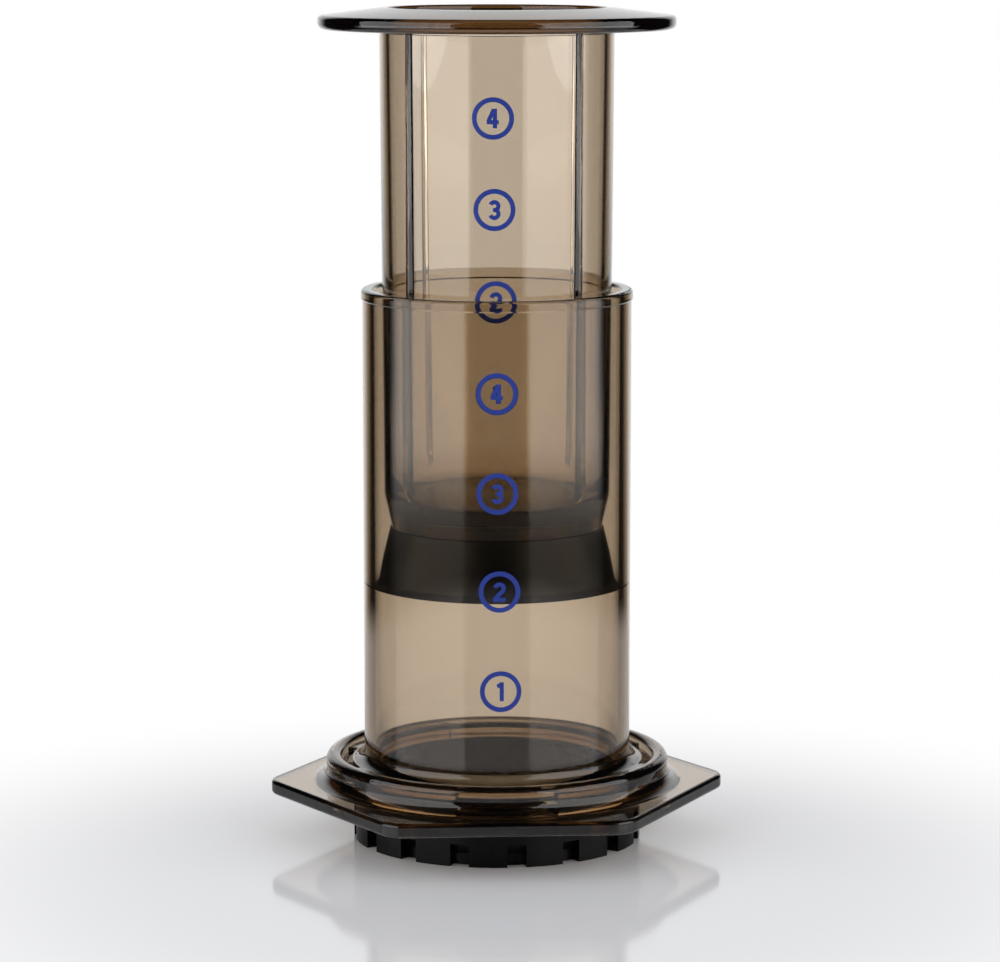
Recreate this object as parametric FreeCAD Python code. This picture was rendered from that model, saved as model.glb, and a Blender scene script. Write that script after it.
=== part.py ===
import FreeCAD, Part
import math
import os

# A hand-pressed coffee maker: a clear chamber with a six-sided flange, a hollow
# clear plunger with a rubber seal on its end, and a perforated cap that locks
# into the chamber with a short-turn bayonet and clamps a paper filter.
# Millimetres. +Z is up, z = 0 is the table under the cap, and the tube's axis is Z.
# Angles are in degrees about Z from +X, counter-clockwise seen from above.

# Chamber tube
BORE_D = 60.5
TUBE_WALL = 2.75
TUBE_LENGTH = 130.5
TUBE_FOOT_R = 2.6
RIM_HEIGHT = 2.4
RIM_PROUD = 0.35
RIM_ROUND = 0.9
RIM_LEAD_IN = 0.8
RIM_MOUTH = 0.48
RIM_MOUTH_R = 0.24

# Six-sided flange
FLANGE_FROM_END = 4.7
FLANGE_THICK = 3.5
FLANGE_BRIM = 7.1
FLANGE_CORNER_R = 7.0
FLANGE_EDGE_R = 0.9

# Collar over the bayonet
COLLAR_HEIGHT = 6.7
COLLAR_WALL = 3.8
COLLAR_CREST_R = 1.8
COLLAR_INNER_R = 1.44
COLLAR_FOOT_R = 3.3
MOAT_DEPTH = 1.6
MOAT_FLOOR_THICK = 2.0

# Bayonet
BAYONETS = 4
LEDGE_ANGLE = 36.0
LEDGE_THICK = 2.4
STOP_ANGLE = 4.0
LUG_ANGLE = 30.0
LUG_THICK = 2.4
STOP_CLEAR_ANGLE = 0.5
TWIST_CLEAR = 0.2
LUG_TIP_CLEAR = 0.4
LEDGE_BORE_CLEAR = 0.35
LEDGE_REACH = 2.7
LEDGE_ROOT = 0.95
ROOF_CLEAR = 0.4

# Filter cap
CAP_WALL = 2.5
CAP_TUBE_CLEAR = 0.15
CAP_TOP_ROUND = 0.4
FLOOR_LIFT = 3.8
FLOOR_THICK = 2.2
FOOT_RING = 3.95
GRIP_HEIGHT = 5.5
GRIP_GROOVES = 16
GROOVE_ANGLE = 7.5
GROOVE_DEPTH = 2.7
GROOVE_PHASE = 4.2
HOLE_D = 1.6
HOLE_MARGIN = 3.0
HOLE_RINGS = 5

# Paper filter
PAPER_EDGE_CLEAR = 1.4
PAPER_THICK = 0.3

# Plunger
PLUNGER_GAP = 1.7
PLUNGER_WALL = 2.2
PRESS_STOP_GAP = 5.7
PLUNGER_DRAFT = 0.38
PLUNGER_FLOOR_THICK = 2.4
PLUNGER_FLOOR_LIFT = 5.6
PLUNGER_FLOOR_R = 4.0
SHOULDER_STEP = 1.8
SHOULDER_HEIGHT = 8.3
SHOULDER_R = 6.0
DISC_BRIM = 14.95
DISC_EDGE = 3.3
DISC_DOME = 1.9
DISC_EDGE_R = 1.5
DISC_TOP_R = 1.2
DISC_ROOT_R = 1.0
LIP_WIDTH = 1.6
LIP_R = 0.7
RIB_COUNT = 4
RIB_THICK = 1.1
RIB_RUN_CLEAR = 0.3
RIB_SINK = 1.0
RIB_TOP_SINK = 1.1
RIB_LEAD = 4.0
RIB_FIRST_ANGLE = 39.5
NECK_STEP = 3.5
NECK_HEAD_PROUD = 2.0
NECK_HEAD_THICK = 2.6
NECK_WALL = 2.4

# Rubber seal
SEAL_BOTTOM_ABOVE_PAPER = 57.5
SEAL_HEIGHT = 14.6
SEAL_TOP_PROUD = 0.3
SEAL_SKIRT_GAP = 1.05
SEAL_RUN_CLEAR = 0.05
SEAL_LIP = 0.5
SEAL_LIP_FLARE = 1.2
SEAL_FLOOR = 4.2
SEAL_BULGE = 0.35
SEAL_SIDE_R = 14.6
SEAL_DISH = 0.6
SEAL_DISH_EDGE = 3.0
SEAT_CLEAR = 0.05
PRESS_CLEAR = 0.2

# How far each cutting tool runs past the face that it cuts
CUT_PAST = 1.0

# Radii that follow from the sizes above
bore_r = BORE_D / 2
tube_r = bore_r + TUBE_WALL
cap_bore_r = tube_r + CAP_TUBE_CLEAR
cap_r = cap_bore_r + CAP_WALL
groove_r = cap_r - GROOVE_DEPTH
foot_r = groove_r - FOOT_RING
paper_r = cap_bore_r - PAPER_EDGE_CLEAR
ledge_r = cap_r + LEDGE_BORE_CLEAR
pocket_r = ledge_r + LEDGE_REACH
lug_r = pocket_r - LUG_TIP_CLEAR
collar_r = pocket_r + COLLAR_WALL
flange_r = collar_r + FLANGE_BRIM
plunger_r = bore_r - PLUNGER_GAP
disc_r = plunger_r + DISC_BRIM

# Heights that follow, from the table up
floor_top = FLOOR_LIFT + FLOOR_THICK
paper_top = floor_top + PAPER_THICK
tube_end = paper_top
rim_z = tube_end + TUBE_LENGTH
flange_bottom = tube_end + FLANGE_FROM_END
flange_top = flange_bottom + FLANGE_THICK
crest_z = flange_top + COLLAR_HEIGHT
moat_z = crest_z - MOAT_DEPTH
roof_z = moat_z - MOAT_FLOOR_THICK
ledge_top = flange_bottom + LEDGE_THICK
lug_bottom = ledge_top + TWIST_CLEAR
lug_top = lug_bottom + LUG_THICK
cap_top = roof_z - ROOF_CLEAR
seal_bottom = paper_top + SEAL_BOTTOM_ABOVE_PAPER
seal_top = seal_bottom + SEAL_HEIGHT
shoulder_z = seal_top + SEAT_CLEAR
head_bottom = seal_bottom + SEAL_FLOOR + SEAT_CLEAR
head_top = head_bottom + NECK_HEAD_THICK
pressed_shoulder = paper_top + PRESS_CLEAR + shoulder_z - seal_bottom
disc_bottom = rim_z + PRESS_STOP_GAP + shoulder_z - pressed_shoulder
disc_edge_top = disc_bottom + DISC_EDGE
lip_z = disc_edge_top + DISC_DOME


def rounded_wire(corners):
    """A closed wire in the XZ plane through (r, z, round) corners, rounded by tangent arcs."""
    count = len(corners)
    starts, mids, ends = [], [], []
    for i, (r, z, size) in enumerate(corners):
        here = FreeCAD.Vector(r, 0, z)
        back = FreeCAD.Vector(corners[i - 1][0], 0, corners[i - 1][1]).sub(here)
        ahead = FreeCAD.Vector(corners[(i + 1) % count][0], 0, corners[(i + 1) % count][1]).sub(here)
        if size == 0:
            starts.append(here)
            mids.append(None)
            ends.append(here)
            continue
        half = back.getAngle(ahead) / 2
        reach = size / math.tan(half)
        back.normalize()
        ahead.normalize()
        middle = back.add(ahead).normalize()
        to_centre = size / math.sin(half)
        starts.append(here.add(back.multiply(reach)))
        mids.append(here.add(middle.multiply(to_centre - size)))
        ends.append(here.add(ahead.multiply(reach)))
    edges = []
    for i in range(count):
        if mids[i] is not None:
            edges.append(Part.Arc(starts[i], mids[i], ends[i]).toShape())
        j = (i + 1) % count
        if ends[i].distanceToPoint(starts[j]) > 1e-6:
            edges.append(Part.LineSegment(ends[i], starts[j]).toShape())
    return Part.Wire(edges)


def turned(corners):
    """A solid of revolution about Z from (r, z, round) corners."""
    face = Part.Face(rounded_wire(corners))
    return face.revolve(FreeCAD.Vector(0, 0, 0), FreeCAD.Vector(0, 0, 1), 360)


def ring_sector(inner_r, outer_r, z_low, z_high, middle_angle, width_angle):
    """A block of ring between two radii and heights, centred on an angle about Z."""
    corners = [(inner_r, z_low, 0), (outer_r, z_low, 0), (outer_r, z_high, 0), (inner_r, z_high, 0)]
    face = Part.Face(rounded_wire(corners))
    axis = FreeCAD.Vector(0, 0, 1)
    face.rotate(FreeCAD.Vector(0, 0, 0), axis, middle_angle - width_angle / 2)
    return face.revolve(FreeCAD.Vector(0, 0, 0), axis, width_angle)


def drafted_r(z):
    """The plunger tube's outer radius at a height: it narrows downward from the disc."""
    return plunger_r - (disc_bottom - z) * math.tan(math.radians(PLUNGER_DRAFT))


shoulder_end = shoulder_z + SHOULDER_HEIGHT
shoulder_r = drafted_r(shoulder_end) - SHOULDER_STEP
neck_r = shoulder_r - NECK_STEP
head_r = neck_r + NECK_HEAD_PROUD


def make_flange_plate():
    """The six-sided plate with rounded corners and edges, points towards +X and -X."""
    point_r = flange_r / math.cos(math.radians(30))
    edges = []
    tangent = FLANGE_CORNER_R * math.tan(math.radians(30))
    for i in range(6):
        angle = math.radians(60 * i)
        before = math.radians(60 * i - 120)
        after = math.radians(60 * i + 120)
        corner = FreeCAD.Vector(point_r * math.cos(angle), point_r * math.sin(angle), flange_bottom)
        start = corner.add(FreeCAD.Vector(math.cos(before), math.sin(before), 0).multiply(tangent))
        end = corner.add(FreeCAD.Vector(math.cos(after), math.sin(after), 0).multiply(tangent))
        crown_r = point_r - FLANGE_CORNER_R * (1 / math.cos(math.radians(30)) - 1)
        crown = FreeCAD.Vector(crown_r * math.cos(angle), crown_r * math.sin(angle), flange_bottom)
        if edges:
            edges.append(Part.LineSegment(edges[-1].lastVertex().Point, start).toShape())
        edges.append(Part.Arc(start, crown, end).toShape())
    edges.append(Part.LineSegment(edges[-1].lastVertex().Point, edges[0].firstVertex().Point).toShape())
    plate = Part.Face(Part.Wire(edges)).extrude(FreeCAD.Vector(0, 0, FLANGE_THICK))
    rims = [e for e in plate.Edges if abs(e.BoundBox.ZLength) < 1e-6]
    plate = plate.makeFillet(FLANGE_EDGE_R, rims)
    hub = Part.makeCylinder((collar_r + pocket_r) / 2, FLANGE_THICK, FreeCAD.Vector(0, 0, flange_bottom))
    return plate.cut(hub)


def make_chamber():
    """Tube, flange, collar, moat floor and bayonet ledges, one clear moulding."""
    plate_r = (collar_r + COLLAR_FOOT_R + flange_r) / 2
    rim_r = tube_r + RIM_PROUD
    body = turned([
        (bore_r, tube_end, 0),
        (bore_r, rim_z - RIM_LEAD_IN, 0),
        (bore_r + RIM_MOUTH, rim_z, RIM_MOUTH_R),
        (rim_r, rim_z, RIM_ROUND),
        (rim_r, rim_z - RIM_HEIGHT, 0),
        (tube_r, rim_z - RIM_HEIGHT - RIM_PROUD, 0),
        (tube_r, moat_z, TUBE_FOOT_R),
        (pocket_r, moat_z, 0),
        (pocket_r, crest_z, COLLAR_INNER_R),
        (collar_r, crest_z, COLLAR_CREST_R),
        (collar_r, flange_top, COLLAR_FOOT_R),
        (plate_r, flange_top, 0),
        (plate_r, flange_bottom, 0),
        (pocket_r, flange_bottom, 0),
        (pocket_r, roof_z, 0),
        (tube_r, roof_z, 0),
        (tube_r, tube_end, 0),
    ])
    body = body.fuse(make_flange_plate())
    step = 360 / BAYONETS
    root_r = pocket_r + LEDGE_ROOT
    for i in range(BAYONETS):
        body = body.cut(ring_sector(ledge_r, pocket_r, roof_z - CUT_PAST, crest_z, i * step, LEDGE_ANGLE))
        ledge = ring_sector(ledge_r, root_r, flange_bottom, ledge_top, i * step, LEDGE_ANGLE)
        stop_at = i * step + (LEDGE_ANGLE - STOP_ANGLE) / 2
        stop = ring_sector(ledge_r, root_r, flange_bottom, lug_top, stop_at, STOP_ANGLE)
        body = body.fuse(ledge).fuse(stop)
    return body.removeSplitter()


def make_filter_cap():
    """Cup with a raised perforated floor, a grooved grip ring below and four lugs above."""
    cap = turned([
        (0, FLOOR_LIFT, 0),
        (foot_r, FLOOR_LIFT, 0),
        (foot_r, 0, 0),
        (cap_r, 0, 0),
        (cap_r, cap_top, CAP_TOP_ROUND),
        (cap_bore_r, cap_top, CAP_TOP_ROUND),
        (cap_bore_r, floor_top, 0),
        (0, floor_top, 0),
    ])
    past = cap_r + CUT_PAST
    slope_top = GRIP_HEIGHT + CUT_PAST
    slope_bottom = GRIP_HEIGHT - GROOVE_DEPTH
    profile = [
        (groove_r, -CUT_PAST, 0),
        (past, -CUT_PAST, 0),
        (past, slope_top, 0),
        (groove_r, slope_bottom, 0),
    ]
    drill_length = FLOOR_THICK + 2 * CUT_PAST
    tools = []
    for i in range(GRIP_GROOVES):
        face = Part.Face(rounded_wire(profile))
        start = i * 360 / GRIP_GROOVES + GROOVE_PHASE - GROOVE_ANGLE / 2
        face.rotate(FreeCAD.Vector(0, 0, 0), FreeCAD.Vector(0, 0, 1), start)
        tools.append(face.revolve(FreeCAD.Vector(0, 0, 0), FreeCAD.Vector(0, 0, 1), GROOVE_ANGLE))
    for x, y in hole_places():
        place = FreeCAD.Vector(x, y, FLOOR_LIFT - CUT_PAST)
        tools.append(Part.makeCylinder(HOLE_D / 2, drill_length, place))
    cap = cap.cut(Part.makeCompound(tools))
    lug_at = (LEDGE_ANGLE - LUG_ANGLE) / 2 - STOP_ANGLE - STOP_CLEAR_ANGLE
    root_r = (cap_bore_r + cap_r) / 2
    for i in range(BAYONETS):
        middle = i * 360 / BAYONETS + lug_at
        cap = cap.fuse(ring_sector(root_r, lug_r, lug_bottom, lug_top, middle, LUG_ANGLE))
    return cap.removeSplitter()


def hole_places():
    """Centres of the drip holes: one in the middle, then rings of six more each time."""
    pitch = (foot_r - HOLE_MARGIN) / HOLE_RINGS
    places = [(0.0, 0.0)]
    for ring in range(1, HOLE_RINGS + 1):
        for i in range(6 * ring):
            angle = math.radians(60 * i / ring)
            places.append((ring * pitch * math.cos(angle), ring * pitch * math.sin(angle)))
    return places


def make_paper_filter():
    """The paper disc between the cap's floor and the tube's end."""
    return Part.makeCylinder(paper_r, PAPER_THICK, FreeCAD.Vector(0, 0, floor_top))


def make_plunger():
    """Hollow drafted tube with a press disc on top, guide ribs, and a neck for the seal."""
    floor_z = shoulder_z + PLUNGER_FLOOR_LIFT
    under_z = floor_z - PLUNGER_FLOOR_THICK
    top_bore_r = plunger_r - PLUNGER_WALL
    low_bore_r = drafted_r(shoulder_end) - PLUNGER_WALL
    plunger = turned([
        (0, floor_z, 0),
        (shoulder_r - PLUNGER_WALL, floor_z, PLUNGER_FLOOR_R),
        (low_bore_r, shoulder_end + PLUNGER_FLOOR_LIFT, 0),
        (top_bore_r, lip_z, LIP_R),
        (top_bore_r + LIP_WIDTH, lip_z, LIP_R),
        (disc_r, disc_edge_top, DISC_TOP_R),
        (disc_r, disc_bottom, DISC_EDGE_R),
        (plunger_r, disc_bottom, DISC_ROOT_R),
        (drafted_r(shoulder_end), shoulder_end, SHOULDER_R),
        (shoulder_r, shoulder_z, 0),
        (neck_r, shoulder_z, 0),
        (neck_r, head_top, 0),
        (head_r, head_top, 0),
        (head_r, head_bottom, 0),
        (neck_r - NECK_WALL, head_bottom, 0),
        (neck_r - NECK_WALL, under_z, 0),
        (0, under_z, 0),
    ])
    for i in range(RIB_COUNT):
        plunger = plunger.fuse(make_rib(RIB_FIRST_ANGLE + i * 360 / RIB_COUNT))
    return plunger.removeSplitter()


def make_rib(angle):
    """One upright guide rib, sunk into the tube wall, with a sloped lead-in at its foot."""
    tip_r = bore_r - RIB_RUN_CLEAR
    root_low = drafted_r(shoulder_end) - RIB_SINK
    root_high = drafted_r(disc_bottom) - RIB_SINK
    top = disc_bottom + RIB_TOP_SINK
    wire = rounded_wire([
        (root_low, shoulder_end, 0),
        (tip_r, shoulder_end + RIB_LEAD, 0),
        (tip_r, top, 0),
        (root_high, top, 0),
    ])
    wire.translate(FreeCAD.Vector(0, -RIB_THICK / 2, 0))
    rib = Part.Face(wire).extrude(FreeCAD.Vector(0, RIB_THICK, 0))
    rib.rotate(FreeCAD.Vector(0, 0, 0), FreeCAD.Vector(0, 0, 1), angle)
    return rib


def make_plunger_seal():
    """Rubber cup that snaps over the plunger's neck and wipes the bore with its lower lip."""
    lip_r = bore_r - SEAL_RUN_CLEAR
    skirt_r = bore_r - SEAL_SKIRT_GAP
    top_r = shoulder_r + SEAL_TOP_PROUD
    throat_r = neck_r + SEAT_CLEAR
    pocket_in_r = head_r + SEAT_CLEAR
    middle_z = seal_bottom + SEAL_HEIGHT / 2
    dish_r = skirt_r - SEAL_DISH_EDGE
    return turned([
        (0, seal_bottom + SEAL_DISH, 0),
        (dish_r - SEAL_DISH, seal_bottom + SEAL_DISH, 0),
        (dish_r, seal_bottom, 0),
        (lip_r, seal_bottom, 0),
        (lip_r, seal_bottom + SEAL_LIP, 0),
        (skirt_r, seal_bottom + SEAL_LIP + SEAL_LIP_FLARE, SEAL_LIP_FLARE),
        ((skirt_r + top_r) / 2 + SEAL_BULGE, middle_z, SEAL_SIDE_R),
        (top_r, seal_top, SEAL_BULGE),
        (throat_r, seal_top, 0),
        (throat_r, head_top + SEAT_CLEAR, 0),
        (pocket_in_r, head_top + SEAT_CLEAR, 0),
        (pocket_in_r, head_bottom - SEAT_CLEAR, 0),
        (0, head_bottom - SEAT_CLEAR, 0),
    ])


def main():
    """Make every piece and write it to parts."""
    os.makedirs("parts", exist_ok=True)
    pieces = {
        "chamber": make_chamber(),
        "filter_cap": make_filter_cap(),
        "paper_filter": make_paper_filter(),
        "plunger": make_plunger(),
        "plunger_seal": make_plunger_seal(),
    }
    for name, shape in pieces.items():
        box = shape.BoundBox
        print(f"{name}: {len(shape.Solids)} solid, {shape.Volume / 1000:.2f} cm3, valid {shape.isValid()},"
              f" z {box.ZMin:.2f} to {box.ZMax:.2f}, x {box.XMin:.2f} to {box.XMax:.2f}")
        shape.exportStep(f"parts/{name}.step")


main()
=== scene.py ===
"""Dresses a hand-pressed coffee maker: a smoked clear chamber, a hollow plunger with its rubber
seal, and a black twist-on filter cap that holds a paper filter. Sizes are millimetres in the
classes and become metres where a mesh, a lamp or the camera is made."""

import logging
import math
from dataclasses import dataclass, field
from enum import Enum
from typing import Any, Callable, Optional, Sequence

import bmesh
import bpy
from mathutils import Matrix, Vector


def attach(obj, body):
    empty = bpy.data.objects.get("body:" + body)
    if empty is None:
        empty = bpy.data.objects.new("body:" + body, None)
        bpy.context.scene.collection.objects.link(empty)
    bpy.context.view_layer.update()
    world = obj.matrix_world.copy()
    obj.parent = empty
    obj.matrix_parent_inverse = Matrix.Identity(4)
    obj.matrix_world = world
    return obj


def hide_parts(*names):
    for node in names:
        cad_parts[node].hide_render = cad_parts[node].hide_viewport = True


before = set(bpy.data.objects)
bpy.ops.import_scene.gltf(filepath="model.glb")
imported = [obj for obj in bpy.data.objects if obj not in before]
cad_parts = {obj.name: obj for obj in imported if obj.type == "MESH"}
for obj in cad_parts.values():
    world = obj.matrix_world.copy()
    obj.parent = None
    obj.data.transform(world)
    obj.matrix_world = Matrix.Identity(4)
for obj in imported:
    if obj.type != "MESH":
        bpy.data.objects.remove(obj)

LOG = logging.getLogger("coffee_press")
MM = 0.001
SHARP_ANGLE = 42.0  # faces that meet at more than this, in degrees, keep a crisp edge
WHITE = (1.0, 1.0, 1.0, 1.0)
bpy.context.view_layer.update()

Point = tuple[float, float]
Colour = tuple[float, float, float, float]


class Body(Enum):
    """The moving bodies of the model."""

    CHAMBER = "chamber"
    CAP = "cap"
    SEAL = "seal"
    PLUNGER = "plunger"


class Node(Enum):
    """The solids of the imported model."""

    CHAMBER = "chamber"
    CAP = "filter_cap"
    PAPER = "paper_filter"
    SEAL = "plunger_seal"
    PLUNGER = "plunger"


class Ray(Enum):
    """The Light Path outputs that the studio tells apart."""

    CAMERA = "Is Camera Ray"
    GLOSSY = "Is Glossy Ray"
    TRANSMISSION = "Is Transmission Ray"
    DIFFUSE_DEPTH = "Diffuse Depth"


def linear(code: str) -> Colour:
    """Turns an sRGB hex value into a linear colour.

    Args:
        code: Six hex digits, such as "102a7e".

    Returns:
        The linear red, green and blue, with an alpha of 1.
    """
    parts = [int(code[at:at + 2], 16) / 255 for at in (0, 2, 4)]
    red, green, blue = (c / 12.92 if c <= 0.04045 else ((c + 0.055) / 1.055) ** 2.4 for c in parts)
    return red, green, blue, 1.0


def add_node(
    tree: bpy.types.NodeTree,
    kind: str,
    settings: Optional[dict[str, Any]] = None,
    values: Optional[dict[Any, Any]] = None,
    links: Optional[dict[Any, Any]] = None,
) -> bpy.types.Node:
    """Adds one node to a tree, with its settings, socket values and incoming links.

    Args:
        tree: The node tree that takes the node.
        kind: The node's type name, such as "ShaderNodeBump".
        settings: Attribute names of the node and their values.
        values: Input names or numbers and the constants they hold.
        links: Input names or numbers and the output sockets that feed them.

    Returns:
        The new node.
    """
    node = tree.nodes.new(kind)
    for key, value in (settings or {}).items():
        setattr(node, key, value)
    for key, value in (values or {}).items():
        node.inputs[key].default_value = value
    for key, socket in (links or {}).items():
        tree.links.new(socket, node.inputs[key])
    return node


def blank_material(name: str) -> bpy.types.Material:
    """Makes a material with an empty node tree.

    Args:
        name: The material's name.

    Returns:
        The new material.
    """
    material = bpy.data.materials.new(name)
    material.use_nodes = True
    material.node_tree.nodes.clear()
    return material


@dataclass(frozen=True)
class SmokedCopolyester:
    """Copolyester with a warm smoke tint, injection-moulded in a polished tool."""

    # It is clear and glossy: the eye sees clean highlights, white through a brown body, and
    # near-black edges where the light has its longest way through the wall.
    name: str = "smoked_copolyester"
    ior: float = 1.57  # copolyester
    roughness_low: float = 0.012  # a polished tool leaves almost a mirror
    roughness_high: float = 0.045
    surface: str = "fbfaf8"
    # What a metre of the plastic takes from white. The walls are 2 to 3 mm, so it is strong.
    smoke: str = "c2a56b"
    smoke_density: float = 256.0
    flow_mm: float = 26.0  # the long faint ripple that the melt leaves along a moulded wall
    flow_depth_mm: float = 0.006
    flow_strength: float = 0.25
    # Hairline handling marks are a few hundredths of a millimetre wide, too fine to show. The
    # patches that they gather in are drawn in their place.
    scuff_mm: float = 1.6
    scuff_from: float = 0.45
    scuff_to: float = 0.75

    def material(self) -> bpy.types.Material:
        """Builds the material.

        Returns:
            The new material.
        """
        made = blank_material(self.name)
        tree = made.node_tree
        place = add_node(tree, "ShaderNodeTexCoord").outputs["Object"]
        flow = add_node(
            tree, "ShaderNodeTexNoise",
            values={"Scale": 1 / (self.flow_mm * MM), "Detail": 1.0, "Roughness": 0.4},
            links={"Vector": place},
        )
        scuffs = add_node(
            tree, "ShaderNodeTexNoise",
            values={"Scale": 1 / (self.scuff_mm * MM), "Detail": 4.0, "Roughness": 0.7},
            links={"Vector": place},
        )
        gloss = add_node(
            tree, "ShaderNodeMapRange",
            values={"From Min": self.scuff_from, "From Max": self.scuff_to,
                    "To Min": self.roughness_low, "To Max": self.roughness_high},
            links={"Value": scuffs.outputs["Fac"]},
        )
        ripple = add_node(
            tree, "ShaderNodeBump",
            values={"Strength": self.flow_strength, "Distance": self.flow_depth_mm * MM},
            links={"Height": flow.outputs["Fac"]},
        )
        shader = add_node(
            tree, "ShaderNodeBsdfPrincipled",
            values={"Base Color": linear(self.surface), "IOR": self.ior,
                    "Transmission Weight": 1.0},
            links={"Roughness": gloss.outputs["Result"], "Normal": ripple.outputs["Normal"]},
        )
        body = add_node(
            tree, "ShaderNodeVolumeAbsorption",
            values={"Color": linear(self.smoke), "Density": self.smoke_density},
        )
        add_node(
            tree, "ShaderNodeOutputMaterial",
            links={"Surface": shader.outputs["BSDF"], "Volume": body.outputs["Volume"]},
        )
        return made


@dataclass(frozen=True)
class OpaqueFinish:
    """An opaque surface with a fine grain and soft clouds of wear, which the finishes below fill
    in."""

    name: str
    base: str
    worn: str  # the paler colour of the worn clouds
    ior: float
    roughness_low: float
    roughness_high: float
    grain_mm: float
    grain_depth_mm: float
    cloud_mm: float = 14.0  # about a fingertip, as hands rub the surface
    cloud_from: float = 0.3
    cloud_to: float = 0.7
    specular_level: float = 0.5
    grain_strength: float = 0.6

    def material(self) -> bpy.types.Material:
        """Builds the material.

        Returns:
            The new material.
        """
        made = blank_material(self.name)
        tree = made.node_tree
        place = add_node(tree, "ShaderNodeTexCoord").outputs["Object"]
        grain = add_node(
            tree, "ShaderNodeTexNoise",
            values={"Scale": 1 / (self.grain_mm * MM), "Detail": 3.0, "Roughness": 0.6},
            links={"Vector": place},
        )
        cloud = add_node(
            tree, "ShaderNodeTexNoise",
            values={"Scale": 1 / (self.cloud_mm * MM), "Detail": 5.0, "Roughness": 0.6},
            links={"Vector": place},
        )
        colour = add_node(
            tree, "ShaderNodeMix", settings={"data_type": "RGBA"},
            values={6: linear(self.base), 7: linear(self.worn)},
            links={0: cloud.outputs["Fac"]},
        )
        rough = add_node(
            tree, "ShaderNodeMapRange",
            values={"From Min": self.cloud_from, "From Max": self.cloud_to,
                    "To Min": self.roughness_low, "To Max": self.roughness_high},
            links={"Value": cloud.outputs["Fac"]},
        )
        bump = add_node(
            tree, "ShaderNodeBump",
            values={"Strength": self.grain_strength, "Distance": self.grain_depth_mm * MM},
            links={"Height": grain.outputs["Fac"]},
        )
        shader = add_node(
            tree, "ShaderNodeBsdfPrincipled",
            values={"IOR": self.ior, "Specular IOR Level": self.specular_level},
            links={"Base Color": colour.outputs[2], "Roughness": rough.outputs["Result"],
                   "Normal": bump.outputs["Normal"]},
        )
        add_node(tree, "ShaderNodeOutputMaterial", links={"Surface": shader.outputs["BSDF"]})
        return made


@dataclass(frozen=True)
class GrainedPolypropylene(OpaqueFinish):
    """Black polypropylene, injection-moulded in a spark-eroded tool."""

    # The eye sees a deep even black with one broad, dull sheen and hardly any mirror image.
    name: str = "grained_polypropylene"
    base: str = "030303"
    worn: str = "080808"
    ior: float = 1.49  # polypropylene
    roughness_low: float = 0.24
    roughness_high: float = 0.34
    # A real eroded grain is about 0.05 mm wide. It is drawn coarser, so that it shows.
    grain_mm: float = 0.35
    grain_depth_mm: float = 0.012
    specular_level: float = 0.15  # the grain's pits hold back most of the mirror part


@dataclass(frozen=True)
class ThermoplasticRubber(OpaqueFinish):
    """Black thermoplastic rubber, injection-moulded."""

    # The eye sees a soft charcoal black that catches a wide, weak light at its edges.
    name: str = "thermoplastic_rubber"
    base: str = "0c0c0c"
    worn: str = "171717"
    ior: float = 1.5  # styrene rubber
    roughness_low: float = 0.32
    roughness_high: float = 0.45
    # The real skin has a grain of about 0.03 mm. It is drawn coarser, so that it shows.
    grain_mm: float = 0.3
    grain_depth_mm: float = 0.01


@dataclass(frozen=True)
class PadPrintInk(OpaqueFinish):
    """Dark blue two-part ink, pad-printed and cured."""

    # The eye sees a flat saturated blue, duller than the glossy plastic round it.
    name: str = "pad_print_ink"
    base: str = "102a7e"
    worn: str = "16338c"
    ior: float = 1.5  # epoxy ink
    roughness_low: float = 0.35
    roughness_high: float = 0.5
    # The ink's skin follows the pad's fine texture of about 0.02 mm, which is drawn coarser.
    grain_mm: float = 0.12
    grain_depth_mm: float = 0.004
    cloud_mm: float = 1.5  # the small uneven patches that a pad leaves


@dataclass(frozen=True)
class CrepePaper:
    """Bleached filter paper, creped on a drum."""

    # The eye sees a matte, fibrous off-white with fine cross ridges.
    name: str = "creped_filter_paper"
    base: str = "f1ece2"
    fibre: str = "dcd4c4"
    ior: float = 1.47  # cellulose
    roughness: float = 0.92
    # Crepe ridges are about 0.3 mm apart and fibres 0.03 mm wide. Both are drawn coarser.
    ridge_mm: float = 0.9
    ridge_depth_mm: float = 0.05
    ridge_strength: float = 0.7
    fibre_mm: float = 0.35

    def material(self) -> bpy.types.Material:
        """Builds the material.

        Returns:
            The new material.
        """
        made = blank_material(self.name)
        tree = made.node_tree
        place = add_node(tree, "ShaderNodeTexCoord").outputs["Object"]
        ridges = add_node(
            tree, "ShaderNodeTexWave",
            values={"Scale": 1 / (self.ridge_mm * MM) / math.tau, "Distortion": 3.0, "Detail": 2.0},
            links={"Vector": place},
        )
        fibres = add_node(
            tree, "ShaderNodeTexNoise",
            values={"Scale": 1 / (self.fibre_mm * MM), "Detail": 4.0, "Roughness": 0.7},
            links={"Vector": place},
        )
        colour = add_node(
            tree, "ShaderNodeMix", settings={"data_type": "RGBA"},
            values={6: linear(self.base), 7: linear(self.fibre)},
            links={0: fibres.outputs["Fac"]},
        )
        bump = add_node(
            tree, "ShaderNodeBump",
            values={"Strength": self.ridge_strength, "Distance": self.ridge_depth_mm * MM},
            links={"Height": ridges.outputs["Fac"]},
        )
        shader = add_node(
            tree, "ShaderNodeBsdfPrincipled",
            values={"IOR": self.ior, "Roughness": self.roughness},
            links={"Base Color": colour.outputs[2], "Normal": bump.outputs["Normal"]},
        )
        add_node(tree, "ShaderNodeOutputMaterial", links={"Surface": shader.outputs["BSDF"]})
        return made


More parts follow.
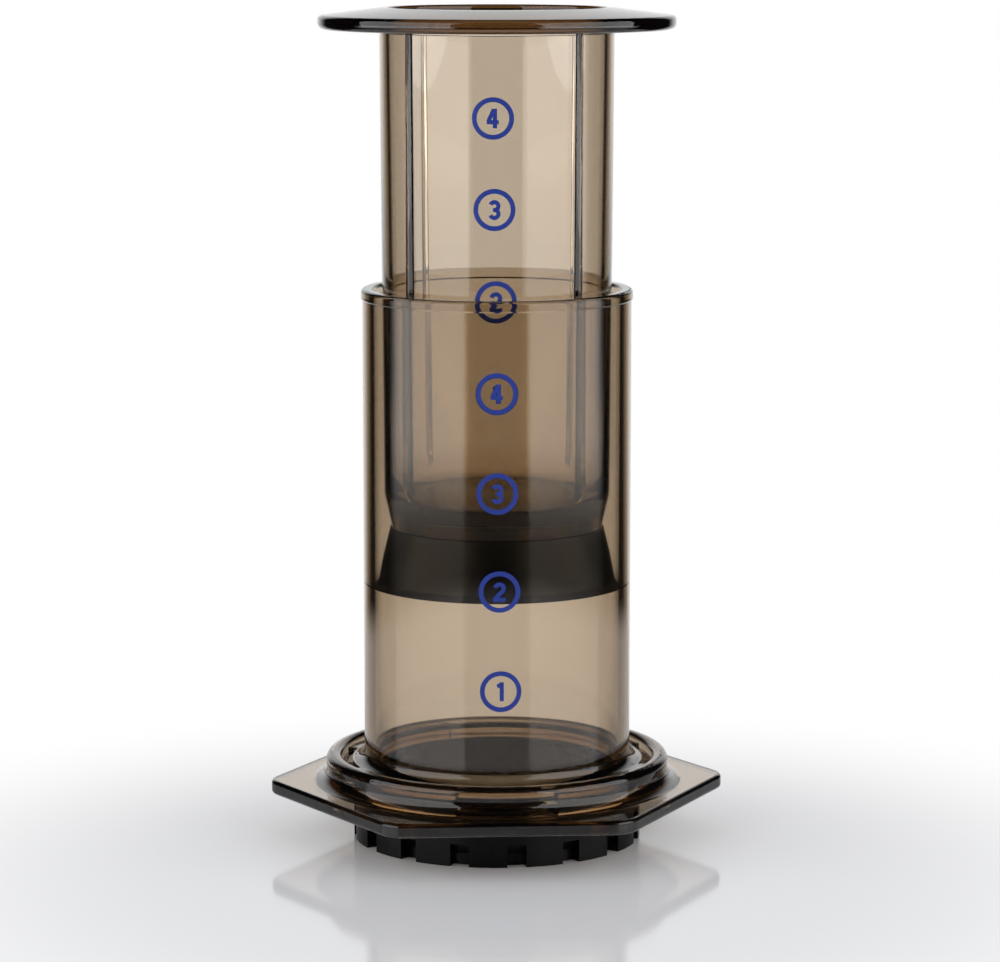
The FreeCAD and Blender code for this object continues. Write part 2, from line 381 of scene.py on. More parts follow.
def seen_directly(tree: bpy.types.NodeTree) -> bpy.types.NodeSocket:
    """Adds the test for rays that reach the eye without a matte surface between.

    Args:
        tree: The node tree that takes the nodes.

    Returns:
        A socket that is 1 for camera, glossy and transmission rays with no matte bounce, else 0.
    """
    path = add_node(tree, "ShaderNodeLightPath")
    first = add_node(
        tree, "ShaderNodeMath", settings={"operation": "MAXIMUM"},
        links={0: path.outputs[Ray.CAMERA.value], 1: path.outputs[Ray.GLOSSY.value]},
    )
    any_of = add_node(
        tree, "ShaderNodeMath", settings={"operation": "MAXIMUM"},
        links={0: first.outputs["Value"], 1: path.outputs[Ray.TRANSMISSION.value]},
    )
    clean = add_node(
        tree, "ShaderNodeMath", settings={"operation": "LESS_THAN"}, values={1: 0.5},
        links={0: path.outputs[Ray.DIFFUSE_DEPTH.value]},
    )
    both = add_node(
        tree, "ShaderNodeMath", settings={"operation": "MULTIPLY"},
        links={0: any_of.outputs["Value"], 1: clean.outputs["Value"]},
    )
    return both.outputs["Value"]


def sector(
    tree: bpy.types.NodeTree, place: bpy.types.NodeSocket, bearing: float, half: float, fade: float
) -> bpy.types.NodeSocket:
    """Adds the test for places or directions within a sector round the object.

    Args:
        tree: The node tree that takes the nodes.
        place: A socket with the place or the direction, from the object's axis.
        bearing: The sector's middle, in degrees from -Y towards -X.
        half: Half of the sector's angle, in degrees.
        fade: The angle over which it ends, in degrees.

    Returns:
        A socket that is 1 in the sector and falls to 0 outside it.
    """
    turn = math.radians(bearing)
    flat = add_node(
        tree, "ShaderNodeVectorMath", settings={"operation": "MULTIPLY"},
        values={1: (1.0, 1.0, 0.0)}, links={0: place},
    )
    unit = add_node(
        tree, "ShaderNodeVectorMath", settings={"operation": "NORMALIZE"},
        links={0: flat.outputs["Vector"]},
    )
    toward = add_node(
        tree, "ShaderNodeVectorMath", settings={"operation": "DOT_PRODUCT"},
        values={1: (-math.sin(turn), -math.cos(turn), 0.0)}, links={0: unit.outputs["Vector"]},
    )
    inside = add_node(
        tree, "ShaderNodeMapRange", settings={"interpolation_type": "SMOOTHSTEP"},
        values={"From Min": math.cos(math.radians(half)),
                "From Max": math.cos(math.radians(half - fade))},
        links={"Value": toward.outputs["Value"]},
    )
    return inside.outputs["Result"]


@dataclass(frozen=True)
class Room:
    """What reflections and refractions meet away from the object: a white backdrop that faces the
    camera, a painted glow on the table to both sides that stands in for the softboxes' light, and a
    dark room elsewhere."""

    camera_bearing: float = 3.6  # degrees from -Y towards -X
    # Half angle of each sector round the object and the angle over which it ends, in degrees.
    backdrop_half: float = 38.0
    backdrop_fade: float = 20.0
    side_half: float = 104.0
    side_fade: float = 12.0
    front_half: float = 30.0
    front_fade: float = 6.0
    # The table to both sides, painted as a glow of the softboxes' light, from the lamps' dim near
    # edge to under them.
    side_painted_glow_near: float = 0.15
    side_painted_glow_far: float = 1.9
    side_near_mm: float = 460.0
    side_far_mm: float = 780.0
    dark_level: float = 0.015

    def backdrop(
        self, tree: bpy.types.NodeTree, place: bpy.types.NodeSocket
    ) -> bpy.types.NodeSocket:
        """Adds the backdrop's mask for places or directions."""
        bearing = self.camera_bearing + 180
        return sector(tree, place, bearing, self.backdrop_half, self.backdrop_fade)

    def far_table_painted_light(
        self, tree: bpy.types.NodeTree, place: bpy.types.NodeSocket
    ) -> bpy.types.NodeSocket:
        """Adds the far table's painted light as reflections meet it: a glow in place of the
        softboxes' light to both sides, the backdrop behind and darkness elsewhere.

        Args:
            tree: The node tree that takes the nodes.
            place: A socket with the place on the table.

        Returns:
            The painted brightness.
        """
        wide = sector(tree, place, self.camera_bearing, self.side_half, self.side_fade)
        front = sector(tree, place, self.camera_bearing, self.front_half, self.front_fade)
        sides = add_node(
            tree, "ShaderNodeMath", settings={"operation": "SUBTRACT"}, links={0: wide, 1: front}
        )
        way = add_node(
            tree, "ShaderNodeVectorMath", settings={"operation": "LENGTH"}, links={0: place}
        )
        glow = add_node(
            tree, "ShaderNodeMapRange", settings={"interpolation_type": "SMOOTHSTEP"},
            values={"From Min": self.side_near_mm * MM, "From Max": self.side_far_mm * MM,
                    "To Min": self.side_painted_glow_near, "To Max": self.side_painted_glow_far},
            links={"Value": way.outputs["Value"]},
        )
        bright = add_node(
            tree, "ShaderNodeMath", settings={"operation": "MULTIPLY"},
            links={0: sides.outputs["Value"], 1: glow.outputs["Result"]},
        )
        either = add_node(
            tree, "ShaderNodeMath", settings={"operation": "MAXIMUM"},
            links={0: bright.outputs["Value"], 1: self.backdrop(tree, place)},
        )
        level = add_node(
            tree, "ShaderNodeMath", settings={"operation": "MAXIMUM"},
            values={1: self.dark_level}, links={0: either.outputs["Value"]},
        )
        return level.outputs["Value"]


@dataclass(frozen=True)
class PaleFloor:
    """A pale laminate table with a clear sealed coat."""

    # The eye sees a faintly glossy grey-white near the object, with its soft reflection, and plain
    # white farther away.
    name: str = "pale_table"
    base: str = "eaebef"
    roughness: float = 0.09
    roughness_spread: float = 0.1
    ior: float = 1.45  # clear coat
    mottle_mm: float = 25.0  # wiping marks
    white_centre_mm: Point = (0.0, -50.0)
    white_start_mm: float = 70.0
    white_end_mm: float = 205.0
    far_start_mm: float = 300.0  # where reflections leave the lit table
    far_end_mm: float = 385.0
    room: Room = Room()

    def material(self) -> bpy.types.Material:
        """Builds the material.

        Returns:
            The new material.
        """
        made = blank_material(self.name)
        tree = made.node_tree
        place = add_node(tree, "ShaderNodeTexCoord").outputs["Object"]
        centre = (self.white_centre_mm[0] * MM, self.white_centre_mm[1] * MM, 0.0)
        way = add_node(
            tree, "ShaderNodeVectorMath", settings={"operation": "DISTANCE"},
            values={1: centre}, links={0: place},
        )
        away = add_node(
            tree, "ShaderNodeMapRange", settings={"interpolation_type": "SMOOTHSTEP"},
            values={"From Min": self.white_start_mm * MM, "From Max": self.white_end_mm * MM},
            links={"Value": way.outputs["Value"]},
        )
        far = add_node(
            tree, "ShaderNodeMapRange", settings={"interpolation_type": "SMOOTHSTEP"},
            values={"From Min": self.far_start_mm * MM, "From Max": self.far_end_mm * MM},
            links={"Value": way.outputs["Value"]},
        )
        path = add_node(tree, "ShaderNodeLightPath")
        behind = add_node(
            tree, "ShaderNodeMath", settings={"operation": "MULTIPLY"},
            links={0: away.outputs["Result"], 1: self.room.backdrop(tree, place)},
        )
        either = add_node(
            tree, "ShaderNodeMath", settings={"operation": "MAXIMUM"},
            links={0: far.outputs["Result"], 1: behind.outputs["Value"]},
        )
        edge = add_node(
            tree, "ShaderNodeMix",
            links={0: path.outputs[Ray.CAMERA.value], 2: either.outputs["Value"],
                   3: away.outputs["Result"]},
        )
        white = add_node(
            tree, "ShaderNodeMath", settings={"operation": "MULTIPLY"},
            links={0: edge.outputs[0], 1: seen_directly(tree)},
        )
        mottle = add_node(
            tree, "ShaderNodeTexNoise", values={"Scale": 1 / (self.mottle_mm * MM), "Detail": 3.0},
            links={"Vector": place},
        )
        rough = add_node(
            tree, "ShaderNodeMapRange",
            values={"To Min": self.roughness * (1 - self.roughness_spread),
                    "To Max": self.roughness * (1 + self.roughness_spread)},
            links={"Value": mottle.outputs["Fac"]},
        )
        table = add_node(
            tree, "ShaderNodeBsdfPrincipled",
            values={"Base Color": linear(self.base), "IOR": self.ior},
            links={"Roughness": rough.outputs["Result"]},
        )
        # Reflections and refractions that reach the far table meet painted light instead of the lit
        # table: an emission that glows under the softboxes to both sides, white behind and dark in
        # front.
        level = add_node(
            tree, "ShaderNodeMix", values={3: 1.0},
            links={0: path.outputs[Ray.CAMERA.value], 2: self.room.far_table_painted_light(tree, place)},
        )
        sky = add_node(
            tree, "ShaderNodeEmission", values={"Color": WHITE},
            links={"Strength": level.outputs[0]},
        )
        both = add_node(
            tree, "ShaderNodeMixShader",
            links={0: white.outputs["Value"], 1: table.outputs["BSDF"], 2: sky.outputs["Emission"]},
        )
        add_node(tree, "ShaderNodeOutputMaterial", links={"Surface": both.outputs["Shader"]})
        return made


def link_mesh(name: str, mesh: bmesh.types.BMesh, material: bpy.types.Material) -> bpy.types.Object:
    """Turns a bmesh into a smooth-shaded object of the scene.

    Args:
        name: The piece's name.
        mesh: The bmesh, in metres, freed here.
        material: The finish of all its faces.

    Returns:
        The new object.
    """
    bmesh.ops.recalc_face_normals(mesh, faces=mesh.faces)
    data = bpy.data.meshes.new(name)
    mesh.to_mesh(data)
    mesh.free()
    data.set_sharp_from_angle(angle=math.radians(SHARP_ANGLE))
    data.materials.append(material)
    piece = bpy.data.objects.new(name, data)
    bpy.context.scene.collection.objects.link(piece)
    return piece


def dress(node: Node, material: bpy.types.Material) -> bpy.types.Object:
    """Gives a solid of the model its finish.

    Args:
        node: Which solid.
        material: Its finish.

    Returns:
        The solid's object.
    """
    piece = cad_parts[node.value]
    for at in range(max(1, len(piece.material_slots))):
        if at >= len(piece.material_slots):
            piece.data.materials.append(material)
        piece.material_slots[at].link = "OBJECT"
        piece.material_slots[at].material = material
    return piece


@dataclass(frozen=True)
class Corner:
    """A corner of a turned outline: radius, height and the size of its rounding, in millimetres."""

    radius: float
    height: float
    rounding: float = 0.0

    def towards(self, other: "Corner") -> Vector:
        """The direction from this corner to another."""
        return Vector((other.radius - self.radius, other.height - self.height)).normalized()


def rounded(corners: Sequence[Corner], steps: int = 8) -> list[Point]:
    """Rounds a closed outline's corners with tangent arcs.

    Args:
        corners: The outline's corners, in order.
        steps: How many spans each arc has.

    Returns:
        Radius and height of each point.
    """
    outline: list[Point] = []
    for at, corner in enumerate(corners):
        if corner.rounding == 0:
            outline.append((corner.radius, corner.height))
            continue
        back = corner.towards(corners[at - 1])
        ahead = corner.towards(corners[(at + 1) % len(corners)])
        half = back.angle(ahead) / 2
        here = Vector((corner.radius, corner.height))
        reach = corner.rounding / math.tan(half)
        centre = here + (back + ahead).normalized() * corner.rounding / math.sin(half)
        start = here + back * reach - centre
        turn = start.angle_signed(here + ahead * reach - centre)
        for step in range(steps + 1):
            angle = -turn * step / steps
            outline.append((
                centre.x + start.x * math.cos(angle) - start.y * math.sin(angle),
                centre.y + start.x * math.sin(angle) + start.y * math.cos(angle),
            ))
    return outline


def even_turns(count: int = 240) -> list[float]:
    """Angles that divide the circle evenly, in degrees."""
    return [360 * at / count for at in range(count)]


def lathe(
    outline: Sequence[Point],
    turns: Optional[Sequence[float]] = None,
    shape: Callable[[float, float, float], float] = lambda radius, height, turn: radius,
) -> bmesh.types.BMesh:
    """Turns a closed outline round the object's axis.

    Args:
        outline: Radius and height of each point, in millimetres. A radius of 0 is a pole.
        turns: The angles of the columns, in degrees.
        shape: Gives the radius for an outline's radius, height and angle, for ribs and the like.

    Returns:
        The bmesh, in metres.
    """
    mesh = bmesh.new()
    poles = {
        at: mesh.verts.new((0.0, 0.0, z * MM)) for at, (r, z) in enumerate(outline) if r < 1e-6
    }
    columns = []
    for turn in turns or even_turns():
        column = []
        for at, (r, z) in enumerate(outline):
            if at in poles:
                column.append(poles[at])
                continue
            reach = shape(r, z, turn) * MM
            angle = math.radians(turn)
            place = (reach * math.cos(angle), reach * math.sin(angle), z * MM)
            column.append(mesh.verts.new(place))
        columns.append(column)
    for at, column in enumerate(columns):
        beside = columns[(at + 1) % len(columns)]
        for here in range(len(outline)):
            after = (here + 1) % len(outline)
            ring = [column[here], beside[here], beside[after], column[after]]
            corners = list(dict.fromkeys(ring))
            if len(corners) > 2:
                mesh.faces.new(corners).smooth = True
    return mesh


def arc(centre: Point, radius: float, start: float, end: float, steps: int = 20) -> list[Point]:
    """Points along a circular arc.

    Args:
        centre: The arc's centre.
        radius: Its radius.
        start: Its first angle, in degrees from +X.
        end: Its last angle.
        steps: How many spans it has.

    Returns:
        The points, both ends included.
    """
    turns = [math.radians(start + (end - start) * at / steps) for at in range(steps + 1)]
    return [(centre[0] + radius * math.cos(a), centre[1] + radius * math.sin(a)) for a in turns]


@dataclass(frozen=True)
class Stroke:
    """One printed line: its middle line and its width, in millimetres."""

    points: Sequence[Point]
    width: float
    closed: bool = False
    span: float = 0.25
    sharpest: float = 0.4  # the least cosine that a corner's widening counts with
    widest: float = 1.6

    def resampled(self) -> list[Point]:
        """Adds points so that the line can follow a round wall.

        Returns:
            The middle line's points, none farther apart than the span.
        """
        dense: list[Point] = []
        ends = list(self.points) + ([self.points[0]] if self.closed else [])
        for (x0, y0), (x1, y1) in zip(ends, ends[1:]):
            spans = max(1, math.ceil(math.hypot(x1 - x0, y1 - y0) / self.span))
            dense += [
                (x0 + (x1 - x0) * i / spans, y0 + (y1 - y0) * i / spans) for i in range(spans)
            ]
        return dense if self.closed else dense + [ends[-1]]

    def edges(self) -> list[tuple[Point, Point]]:
        """Finds both edges of the line, widened at its corners.

        Returns:
            The left and right edge points beside each point of the middle line.
        """
        line = self.resampled()
        count = len(line)
        sides = []
        for at, (x, y) in enumerate(line):
            before = line[at - 1] if at or self.closed else line[at]
            after = line[(at + 1) % count] if at + 1 < count or self.closed else line[at]
            along = Vector((after[0] - before[0], after[1] - before[1]))
            into = Vector((x - before[0], y - before[1]))
            across = Vector((-along.y, along.x)).normalized()
            mitre = 1.0
            if into.length > 0:
                straight = Vector((-into.y, into.x)).normalized()
                mitre = min(self.widest, 1 / max(self.sharpest, abs(across.dot(straight))))
            reach = across * self.width / 2 * mitre
            sides.append(((x + reach.x, y + reach.y), (x - reach.x, y - reach.y)))
        return sides


class Numeral(Enum):
    """The four cup levels."""

    ONE = 1
    TWO = 2
    THREE = 3
    FOUR = 4


@dataclass(frozen=True)
class CupMarks:
    """A column of ringed numerals, printed on the outside of a round wall."""

    name: str
    places: dict[Numeral, Point]  # how far each mark sits to the side, and its height
    wall_radius: Callable[[float], float]
    body: Body
    facing: float = 3.6  # degrees from -Y towards -X
    ring_outer: float = 10.0
    ring_line: float = 1.15
    numeral_line: float = 1.0
    ink_thickness: float = 0.04
    ink_sunk: float = 0.02
    layer_step: float = 0.004  # how much higher each line of a numeral lies than the one before
    ring_spans: int = 96

    def strokes(self, numeral: Numeral) -> list[Stroke]:
        """Draws one numeral about the middle of its ring.

        Args:
            numeral: Which numeral.

        Returns:
            Its lines.
        """
        shapes: dict[Numeral, list[Sequence[Point]]] = {
            Numeral.ONE: [[(0.25, -2.3), (0.25, 2.3)], [(-0.85, 1.25), (-0.1, 1.62), (0.3, 2.1)]],
            Numeral.TWO: [
                arc((0.0, 0.86), 1.0, 170, -32) + [(-0.98, -1.5), (-0.98, -1.86), (1.42, -1.86)],
            ],
            Numeral.THREE: [
                arc((0.0, 0.92), 0.94, 160, -75), arc((-0.02, -0.9), 0.98, 78, -160),
                [(-0.35, 0.02), (0.25, 0.02)],
            ],
            Numeral.FOUR: [
                [(0.48, 2.3), (0.48, -2.3)], [(-1.45, -0.88), (1.4, -0.88)],
                [(0.25, 2.2), (-1.12, -0.8)],
            ],
        }
        return [Stroke(points, self.numeral_line) for points in shapes[numeral]]

    def add_stroke(self, mesh: bmesh.types.BMesh, stroke: Stroke, place: Point, layer: int) -> None:
        """Wraps one stroke onto the wall as a thin closed strip.

        Args:
            mesh: The bmesh that takes it.
            stroke: The printed line.
            place: How far the mark sits to the side and its height, in millimetres.
            layer: Its place in the pile, so that crossing lines do not share a face.
        """
        aside, height = place
        top, under = self.ink_thickness + layer * self.layer_step, -self.ink_sunk
        rows: list[list[bmesh.types.BMVert]] = []
        for left, right in stroke.edges():
            row = []
            for (x, y), lift in ((left, top), (right, top), (right, under), (left, under)):
                radius = self.wall_radius(height + y) + lift
                turn = math.radians(-90 - self.facing) + (x + aside) / self.wall_radius(height)
                row.append(mesh.verts.new((
                    radius * math.cos(turn) * MM, radius * math.sin(turn) * MM, (height + y) * MM,
                )))
            rows.append(row)
        pairs = list(zip(rows, rows[1:])) + ([(rows[-1], rows[0])] if stroke.closed else [])
        for here, there in pairs:
            for side in range(4):
                after = (side + 1) % 4
                mesh.faces.new((here[side], here[after], there[after], there[side]))
        if not stroke.closed:
            mesh.faces.new(rows[0])
            mesh.faces.new(list(reversed(rows[-1])))

    def build(self, ink: bpy.types.Material) -> list[bpy.types.Object]:
        """Prints every ring and numeral.

        Args:
            ink: The ink's material.

        Returns:
            One piece for each cup level.
        """
        made = []
        for numeral, place in self.places.items():
            mesh = bmesh.new()
            middle = (self.ring_outer - self.ring_line) / 2
            circle = arc((0.0, 0.0), middle, 0, 360, self.ring_spans)[:-1]
            ring = Stroke(circle, self.ring_line, closed=True)
            self.add_stroke(mesh, ring, place, 0)
            for layer, stroke in enumerate(self.strokes(numeral)):
                self.add_stroke(mesh, stroke, place, layer)
            piece = link_mesh(f"{self.name}_{numeral.value}", mesh, ink)
            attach(piece, self.body.value)
            made.append(piece)
        return made


@dataclass(frozen=True)
class Chamber:
    """The clear tube with its six-sided flange and collar, one moulding."""

    tube_radius: float = 33.0
    mark_places: dict[Numeral, Point] = field(default_factory=lambda: {
        Numeral.FOUR: (0.0, 114.8), Numeral.THREE: (0.1, 90.8),
        Numeral.TWO: (0.6, 67.1), Numeral.ONE: (0.9, 42.8),
    })

    def build(
        self, plastic: bpy.types.Material, ink: bpy.types.Material
    ) -> list[bpy.types.Object]:
        """Dresses the moulding and prints its scale.

        Args:
            plastic: The clear plastic.
            ink: The print.

        Returns:
            The moulding and the marks.
        """
        marks = CupMarks("chamber_mark", self.mark_places, lambda z: self.tube_radius, Body.CHAMBER)
        return [dress(Node.CHAMBER, plastic), *marks.build(ink)]


@dataclass(frozen=True)
class Plunger:
    """The clear hollow plunger with its press disc and four guide ribs, one moulding. The ribs have
    the rounded tips and filleted roots that a moulded rib has, so they read as dark lines."""

    top_radius: float = 28.55
    wall_thickness: float = 2.2
    draft: float = 0.38
    disc_radius: float = 43.5
    disc_underside: float = 199.8
    disc_edge_top: float = 203.1
    disc_top_rounding: float = 1.2
    disc_edge_rounding: float = 1.5
    disc_root_rounding: float = 1.0
    lip_top: float = 205.0
    lip_width: float = 1.6
    lip_rounding: float = 0.7
    shoulder_top: float = 86.75
    shoulder_bottom: float = 78.45
    shoulder_radius: float = 26.0
    shoulder_rounding: float = 6.0
    floor_top: float = 84.05
    floor_under: float = 81.65
    floor_rounding: float = 4.0
    floor_flare: float = 8.3  # the height over which the inside widens from the floor
    neck_radius: float = 22.5
    neck_bore: float = 20.1
    head_radius: float = 24.5
    head_top: float = 70.65
    head_bottom: float = 68.05
    rib_tip: float = 29.95
    rib_count: int = 4
    rib_first: float = 39.5  # degrees from +X
    rib_half_width: float = 1.15  # at the foot of its fillets
    rib_lead: float = 4.0
    rib_steps: int = 20
    slack: float = 0.01  # how close to the drafted wall counts as on it
    plain_turns: int = 288
    plain_margin: float = 0.4  # degrees between a rib's foot and the plain wall's columns
    mark_places: dict[Numeral, Point] = field(default_factory=lambda: {
        Numeral.FOUR: (-0.95, 179.7), Numeral.THREE: (-0.6, 158.1),
        Numeral.TWO: (-0.25, 136.2), Numeral.ONE: (0.0, 114.2),
    })

    def wall(self, z: float) -> float:
        """The drafted tube's radius at a height."""
        return self.top_radius - (self.disc_underside - z) * math.tan(math.radians(self.draft))

    def outline(self) -> list[Point]:
        """Draws the moulding's outline, with extra points where the ribs rise.

        Returns:
            Radius and height of each point, from the inner floor round to the underside.
        """
        low = self.wall(self.shoulder_top)
        bore = self.top_radius - self.wall_thickness
        lead = [self.shoulder_top + self.rib_lead * part for part in (1.2, 1.0, 0.75, 0.5, 0.25)]
        corners = [
            Corner(0.0, self.floor_top),
            Corner(self.shoulder_radius - self.wall_thickness, self.floor_top, self.floor_rounding),
            Corner(low - self.wall_thickness, self.floor_top + self.floor_flare),
            Corner(bore, self.lip_top, self.lip_rounding),
            Corner(bore + self.lip_width, self.lip_top, self.lip_rounding),
            Corner(self.disc_radius, self.disc_edge_top, self.disc_top_rounding),
            Corner(self.disc_radius, self.disc_underside, self.disc_edge_rounding),
            Corner(self.top_radius, self.disc_underside, self.disc_root_rounding),
            *[Corner(self.wall(z), z) for z in lead],
            Corner(low, self.shoulder_top, self.shoulder_rounding),
            Corner(self.shoulder_radius, self.shoulder_bottom),
            Corner(self.neck_radius, self.shoulder_bottom),
            Corner(self.neck_radius, self.head_top),
            Corner(self.head_radius, self.head_top),
            Corner(self.head_radius, self.head_bottom),
            Corner(self.neck_bore, self.head_bottom),
            Corner(self.neck_bore, self.floor_under),
            Corner(0.0, self.floor_under),
        ]
        return rounded(corners)

    def columns(self) -> list[float]:
        """Spaces the columns, close together over each rib.

        Returns:
            Their angles in degrees, in order.
        """
        reach = self.rib_half_width
        spread = [reach * (at / self.rib_steps - 1) for at in range(2 * self.rib_steps + 1)]
        ribs = [self.rib_first + 360 * rib / self.rib_count for rib in range(self.rib_count)]
        dense = [
            (middle + math.degrees(aside / self.top_radius)) % 360
            for middle in ribs for aside in spread
        ]
        gap = math.degrees(reach / self.top_radius) + self.plain_margin
        plain = [
            turn for turn in even_turns(self.plain_turns)
            if all(abs((turn - middle + 180) % 360 - 180) > gap for middle in ribs)
        ]
        return sorted(dense + plain)

    def ribbed(self, radius: float, height: float, turn: float) -> float:
        """The outer wall's radius with the ribs on it.

        Args:
            radius: The plain outline's radius.
            height: The point's height.
            turn: Its angle, in degrees.

        Returns:
            The radius, raised to the tip on a rib.
        """
        outside = self.wall(height) - self.slack < radius < self.rib_tip
        if not outside or not self.shoulder_top < height < self.disc_underside - self.slack:
            return radius
        spacing = 360 / self.rib_count
        off = (turn - self.rib_first + spacing / 2) % spacing - spacing / 2
        aside = abs(math.radians(off)) * self.top_radius
        fall = min(1.0, aside / self.rib_half_width)
        rise = min(1.0, (height - self.shoulder_top) / self.rib_lead)
        return radius + (self.rib_tip - radius) * rise * (1 + math.cos(math.pi * fall)) / 2

    def build(
        self, plastic: bpy.types.Material, ink: bpy.types.Material
    ) -> list[bpy.types.Object]:
        """Makes the moulding and prints its scale.

        Args:
            plastic: The clear plastic.
            ink: The print.

        Returns:
            The moulding and the marks.
        """
        mesh = lathe(self.outline(), self.columns(), self.ribbed)
        body = link_mesh("plunger_moulding", mesh, plastic)
        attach(body, Body.PLUNGER.value)
        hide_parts(Node.PLUNGER.value)
        marks = CupMarks("plunger_mark", self.mark_places, self.wall, Body.PLUNGER)
        return [body, *marks.build(ink)]


@dataclass(frozen=True)
class PlungerSeal:
    """The rubber seal on the plunger's end, the line where its lip presses on the bore, and the
    boss that fills the plunger's neck."""

    lip_radius: float = 30.29
    lip_inner: float = 29.7
    lip_bottom: float = 63.83
    lip_height: float = 0.5
    lip_rounding: float = 0.15
    boss_radius: float = 19.9
    boss_bottom: float = 67.6
    boss_top: float = 81.5
    boss_rounding: float = 0.8

    def turned_piece(
        self, name: str, corners: Sequence[Corner], rubber: bpy.types.Material
    ) -> bpy.types.Object:
        """Turns one rubber piece that goes with the seal.

        Args:
            name: The piece's name.
            corners: Its closed outline.
            rubber: The rubber.

        Returns:
            The piece.
        """
        piece = link_mesh(name, lathe(rounded(corners)), rubber)
        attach(piece, Body.SEAL.value)
        return piece

    def build(self, rubber: bpy.types.Material) -> list[bpy.types.Object]:
        """Dresses the seal, and adds the pressed edge of its lip and the boss in the neck.

        Args:
            rubber: The rubber.

        Returns:
            The seal, the lip's edge and the boss.
        """
        low, high = self.lip_bottom, self.lip_bottom + self.lip_height
        lip = [
            Corner(self.lip_inner, low), Corner(self.lip_radius, low, self.lip_rounding),
            Corner(self.lip_radius, high, self.lip_rounding), Corner(self.lip_inner, high),
        ]
        boss = [
            Corner(0.0, self.boss_bottom), Corner(self.boss_radius, self.boss_bottom),
            Corner(self.boss_radius, self.boss_top, self.boss_rounding), Corner(0.0, self.boss_top),
        ]
        return [
            dress(Node.SEAL, rubber),
            self.turned_piece("seal_pressed_lip", lip, rubber),
            self.turned_piece("seal_boss", boss, rubber),
        ]


@dataclass(frozen=True)
class FilterCap:
    """The perforated cap with its grooved grip ring and bayonet lugs, one moulding, shown as the
    solid has it."""

    node: Node = Node.CAP

    def build(self, plastic: bpy.types.Material) -> list[bpy.types.Object]:
        """Dresses the moulding, which is the one piece returned."""
        return [dress(self.node, plastic)]


@dataclass(frozen=True)
class PaperFilter:
    """The round paper that the cap clamps under the tube."""

    node: Node = Node.PAPER

    def build(self, paper: bpy.types.Material) -> list[bpy.types.Object]:
        """Dresses the disc, which is the one piece returned."""
        return [dress(self.node, paper)]


@dataclass(frozen=True)
class Softbox:
    """One rectangular studio lamp, placed round the object by its bearing."""

    name: str
    bearing: float  # degrees from -Y, positive towards -X
    width_mm: float
    height_mm: float
    centre_z_mm: float
    way_mm: float
    power: float
    aim_z_mm: float = 110.0

    def build(self) -> bpy.types.Object:
        """Makes the lamp, aimed at the object's axis and unseen by the camera.

        Returns:
            The lamp.
        """
        lamp = bpy.data.lights.new(self.name, "AREA")
        lamp.shape = "RECTANGLE"
        lamp.size = self.width_mm * MM
        lamp.size_y = self.height_mm * MM
        lamp.energy = self.power
        made = bpy.data.objects.new(self.name, lamp)
        turn = math.radians(self.bearing)
        place = MM * Vector((
            -math.sin(turn) * self.way_mm, -math.cos(turn) * self.way_mm, self.centre_z_mm,
        ))
        made.location = place
        aim = Vector((0.0, 0.0, self.aim_z_mm)) * MM - place
        made.rotation_euler = aim.to_track_quat("-Z", "Y").to_euler()
        made.visible_camera = False
        bpy.context.scene.collection.objects.link(made)
        return made


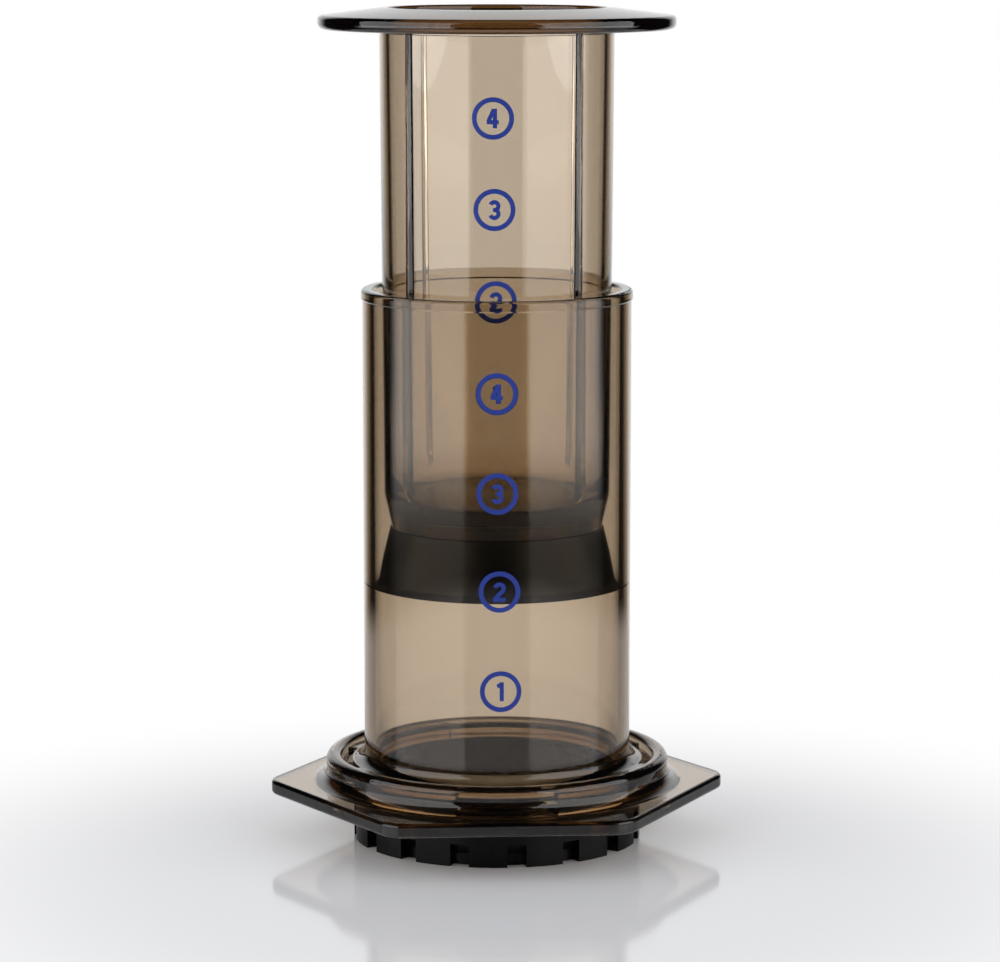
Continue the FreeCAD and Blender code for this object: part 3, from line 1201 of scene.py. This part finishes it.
@dataclass(frozen=True)
class Studio:
    """The pale table, the softboxes, the white surround and the camera."""

    floor_radius_mm: float = 3000.0
    floor_drop_mm: float = 0.05
    surround: float = 0.55  # what the matte surfaces get from all round
    room: Room = Room()
    backdrop_top: float = 38.0
    backdrop_top_fade: float = 20.0
    focal_mm: float = 135.27
    pitch: float = 8.713
    camera_way_mm: float = 927.44
    aim_z_mm: float = 88.91
    frame_shift: float = 0.00305
    sensor_mm: float = 36.0
    clip_mm: Point = (50.0, 20000.0)
    clear_bounces: int = 32  # a view through both tubes crosses eight surfaces and their echoes
    glossy_bounces: int = 12
    softboxes: tuple[Softbox, ...] = (
        Softbox("softbox_left", 66.0, 1850.0, 1200.0, 500.0, 1300.0, 12.5),
        Softbox("softbox_right", -58.8, 1850.0, 1200.0, 500.0, 1300.0, 12.5),
    )

    def add_floor(self) -> None:
        """Lays the table under the object."""
        mesh = bmesh.new()
        bmesh.ops.create_circle(mesh, cap_ends=True, segments=96, radius=self.floor_radius_mm * MM)
        floor = link_mesh("table_top", mesh, PaleFloor().material())
        floor.location.z = -self.floor_drop_mm * MM

    def add_surround(self) -> None:
        """Makes the white surround, which reflections meet as a backdrop in a dark room."""
        world = bpy.data.worlds.new("studio")
        bpy.context.scene.world = world
        world.use_nodes = True
        tree = world.node_tree
        tree.nodes.clear()
        ray = add_node(tree, "ShaderNodeTexCoord").outputs["Generated"]
        across = self.room.backdrop(tree, ray)
        rise = add_node(tree, "ShaderNodeSeparateXYZ", links={"Vector": ray})
        below_top = add_node(
            tree, "ShaderNodeMapRange", settings={"interpolation_type": "SMOOTHSTEP"},
            values={"From Min": math.sin(math.radians(self.backdrop_top)),
                    "From Max": math.sin(math.radians(self.backdrop_top - self.backdrop_top_fade))},
            links={"Value": rise.outputs["Z"]},
        )
        backdrop = add_node(
            tree, "ShaderNodeMath", settings={"operation": "MULTIPLY"},
            links={0: across, 1: below_top.outputs["Result"]},
        )
        room = add_node(
            tree, "ShaderNodeMath", settings={"operation": "MAXIMUM"},
            values={1: self.room.dark_level}, links={0: backdrop.outputs["Value"]},
        )
        path = add_node(tree, "ShaderNodeLightPath")
        direct = add_node(
            tree, "ShaderNodeMix", values={3: 1.0},
            links={0: path.outputs[Ray.CAMERA.value], 2: room.outputs["Value"]},
        )
        level = add_node(
            tree, "ShaderNodeMix", values={2: self.surround},
            links={0: seen_directly(tree), 3: direct.outputs[0]},
        )
        sky = add_node(
            tree, "ShaderNodeBackground", values={"Color": WHITE},
            links={"Strength": level.outputs[0]},
        )
        add_node(tree, "ShaderNodeOutputWorld", links={"Surface": sky.outputs["Background"]})

    def add_camera(self) -> None:
        """Places the camera a little left of the front, looking slightly down."""
        lens = bpy.data.cameras.new("camera")
        lens.sensor_fit = "HORIZONTAL"
        lens.sensor_width = self.sensor_mm
        lens.lens = self.focal_mm
        lens.shift_x = self.frame_shift
        lens.clip_start, lens.clip_end = (end * MM for end in self.clip_mm)
        camera = bpy.data.objects.new("camera", lens)
        down = math.radians(self.pitch)
        turn = math.radians(self.room.camera_bearing)
        flat = self.camera_way_mm * math.cos(down)
        aim = Vector((0.0, 0.0, self.aim_z_mm)) * MM
        camera.location = aim + Vector((
            -math.sin(turn) * flat, -math.cos(turn) * flat, self.camera_way_mm * math.sin(down),
        )) * MM
        camera.rotation_euler = (aim - camera.location).to_track_quat("-Z", "Y").to_euler()
        bpy.context.scene.collection.objects.link(camera)
        bpy.context.scene.camera = camera

    def build(self) -> None:
        """Sets up the whole studio and the light's paths."""
        self.add_floor()
        self.add_surround()
        self.add_camera()
        for softbox in self.softboxes:
            softbox.build()
        scene = bpy.context.scene
        scene.view_settings.view_transform = "Standard"
        scene.cycles.max_bounces = self.clear_bounces
        scene.cycles.transmission_bounces = self.clear_bounces
        scene.cycles.glossy_bounces = self.glossy_bounces
        LOG.info("studio ready with %d softboxes", len(self.softboxes))


def main() -> None:
    """Builds the dressed object and its studio, in order, and reports each piece."""
    logging.basicConfig(level=logging.INFO, format="%(message)s")
    smoked = SmokedCopolyester().material()
    ink = PadPrintInk().material()
    pieces = [
        *Chamber().build(smoked, ink),
        *Plunger().build(smoked, ink),
        *PlungerSeal().build(ThermoplasticRubber().material()),
        *FilterCap().build(GrainedPolypropylene().material()),
        *PaperFilter().build(CrepePaper().material()),
    ]
    for piece in pieces:
        LOG.info("%s is dressed in %s", piece.name, piece.material_slots[0].material.name)
    Studio().build()


if __name__ == "__main__":
    main()
